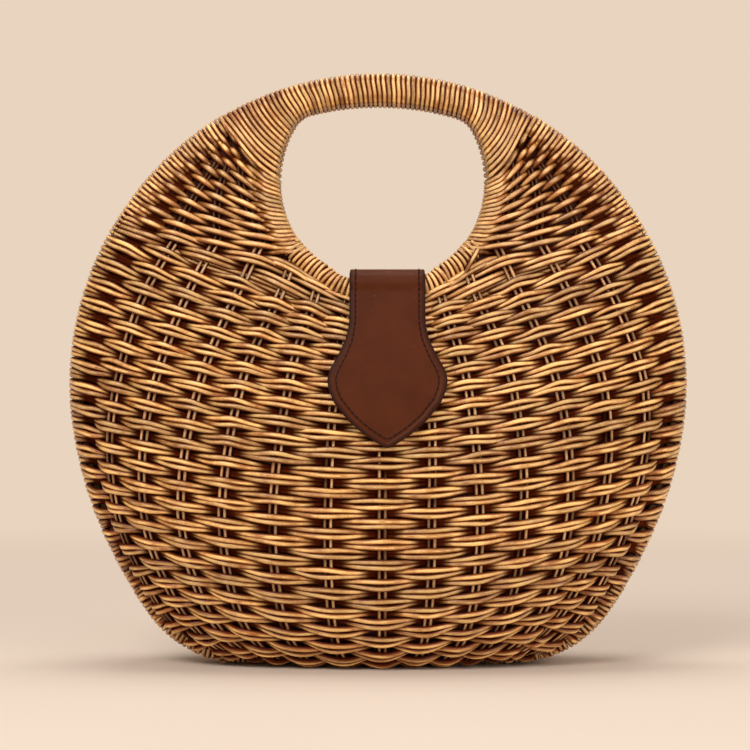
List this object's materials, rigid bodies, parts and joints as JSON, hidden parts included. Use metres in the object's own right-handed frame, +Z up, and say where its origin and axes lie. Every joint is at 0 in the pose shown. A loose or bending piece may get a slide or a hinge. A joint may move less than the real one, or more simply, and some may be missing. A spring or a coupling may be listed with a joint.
{
  "type": "round woven handbag",
  "caption": "Round woven cane handbag with a hand hole through two wound handles that spread to open its mouth, and a leather strap with a magnetic catch.",
  "frame": {"origin": "middle of the flat base, in the plane where the front and back halves meet", "axes": "+X to the right of the bag seen from the strap side, -Y towards the strap side, +Z up"},
  "size_m": [0.32, 0.1096, 0.3051],
  "materials": {
    "woven_cane": "satin lacquer over a dark antique stain",
    "winding_cane": "satin lacquer over a dark antique stain",
    "stake_cane": "satin lacquer over a dark antique stain",
    "frame_cane": "plain dry cane",
    "strap_leather": "smooth waxed leather with dark burnished edges",
    "backing_leather": "matt split leather",
    "lining_cloth": "dark plain cotton",
    "antique_brass": "aged satin"
  },
  "bodies": {
    "body": {"woven_body": "woven_cane", "front_stakes": "stake_cane", "back_stakes": "stake_cane", "front_rim_cane": "frame_cane", "back_rim_cane": "frame_cane", "front_ring_cane": "frame_cane", "back_ring_cane": "frame_cane", "front_ring_winding": "winding_cane", "back_ring_winding": "winding_cane", "lining": "lining_cloth", "catch_socket": "antique_brass", "socket_washer": "antique_brass", "strap_tab": "strap_leather", "tab_rivets": "antique_brass", "rivet_washers": "antique_brass"},
    "front_top": {"front_left_ear": "woven_cane", "front_right_ear": "woven_cane", "front_ear_stakes": "stake_cane", "front_handle_cane": "frame_cane", "front_hole_cane": "frame_cane", "front_handle_winding": "winding_cane"},
    "back_top": {"back_left_ear": "woven_cane", "back_right_ear": "woven_cane", "back_ear_stakes": "stake_cane", "back_handle_cane": "frame_cane", "back_hole_cane": "frame_cane", "back_handle_winding": "winding_cane"},
    "flap": {"strap_leather": "strap_leather", "strap_backing": "backing_leather", "catch_stud": "antique_brass", "stud_washer": "antique_brass"}
  },
  "joints": [
    {"name": "front_handle_spread", "type": "hinge", "parent": "body", "child": "front_top", "pos_m": [0, -0.0272, 0.218], "axis": [1, 0, 0], "range_deg": [0, 12], "stiffness_Nm_per_rad": 2},
    {"name": "back_handle_spread", "type": "hinge", "parent": "body", "child": "back_top", "pos_m": [0, 0.0272, 0.218], "axis": [-1, 0, 0], "range_deg": [0, 12], "stiffness_Nm_per_rad": 2},
    {"name": "strap_lift", "type": "hinge", "parent": "body", "child": "flap", "pos_m": [0, 0.032, 0.2023], "axis": [-1, 0, 0], "range_deg": [0, 80]}
  ]
}
